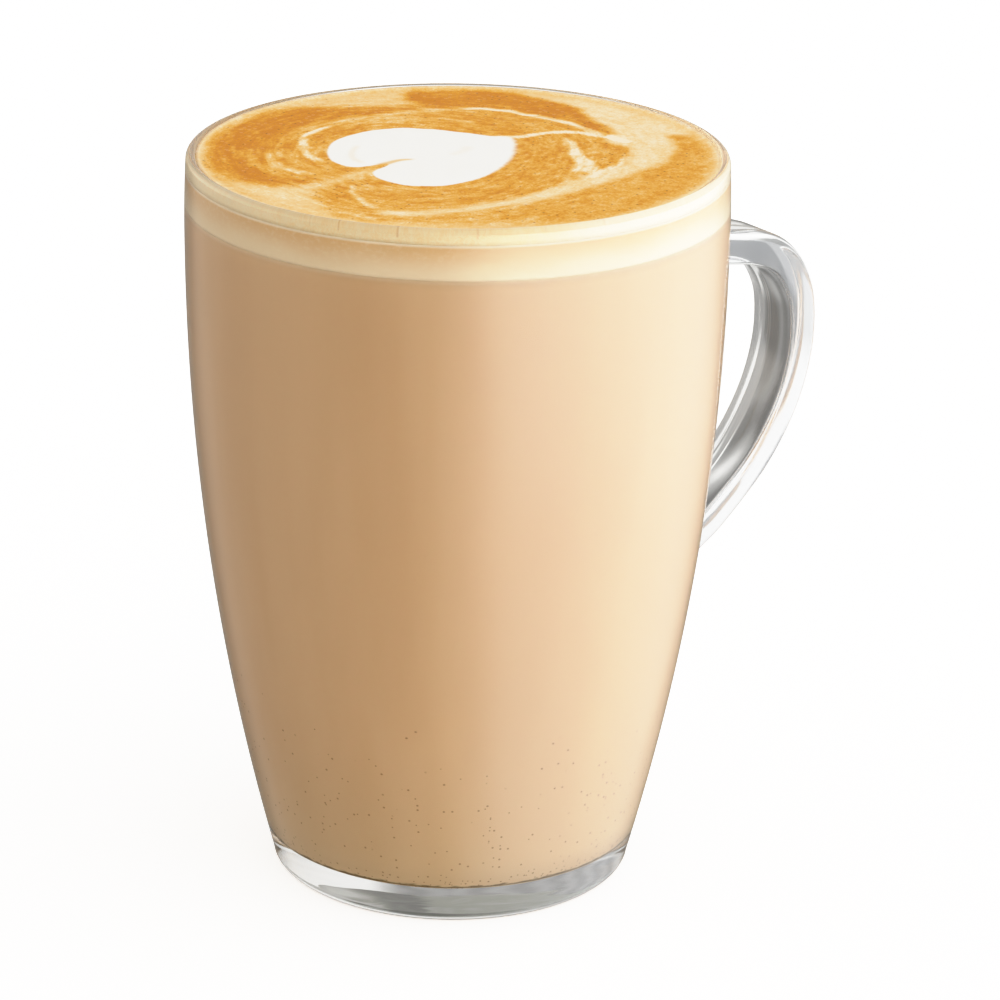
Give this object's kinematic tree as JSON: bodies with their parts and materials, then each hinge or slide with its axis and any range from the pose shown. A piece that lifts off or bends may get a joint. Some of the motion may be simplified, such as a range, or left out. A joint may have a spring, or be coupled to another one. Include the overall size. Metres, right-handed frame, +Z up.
{
  "type": "latte in glass mug",
  "caption": "Milky coffee in a clear, tapered glass mug with a strap handle, topped with foam and crema and a white foam heart",
  "frame": {"origin": "centre of the flat underside of the mug", "axes": "+Z up along the mug's axis, +X towards the handle, +Y across the handle's plane"},
  "size_m": [0.1153, 0.0872, 0.1212],
  "materials": {
    "clear_glass": "clear, polished",
    "milky_coffee": "opaque milky coffee seen through glass",
    "milk_foam": "fine wet foam",
    "golden_crema": "fine golden foam with swirls",
    "white_foam": "smooth white milk foam"
  },
  "bodies": {
    "root": {"glass_mug": "clear_glass", "coffee": "milky_coffee", "milk_foam": "milk_foam", "crema": "golden_crema", "foam_heart": "white_foam"}
  },
  "joints": []
}
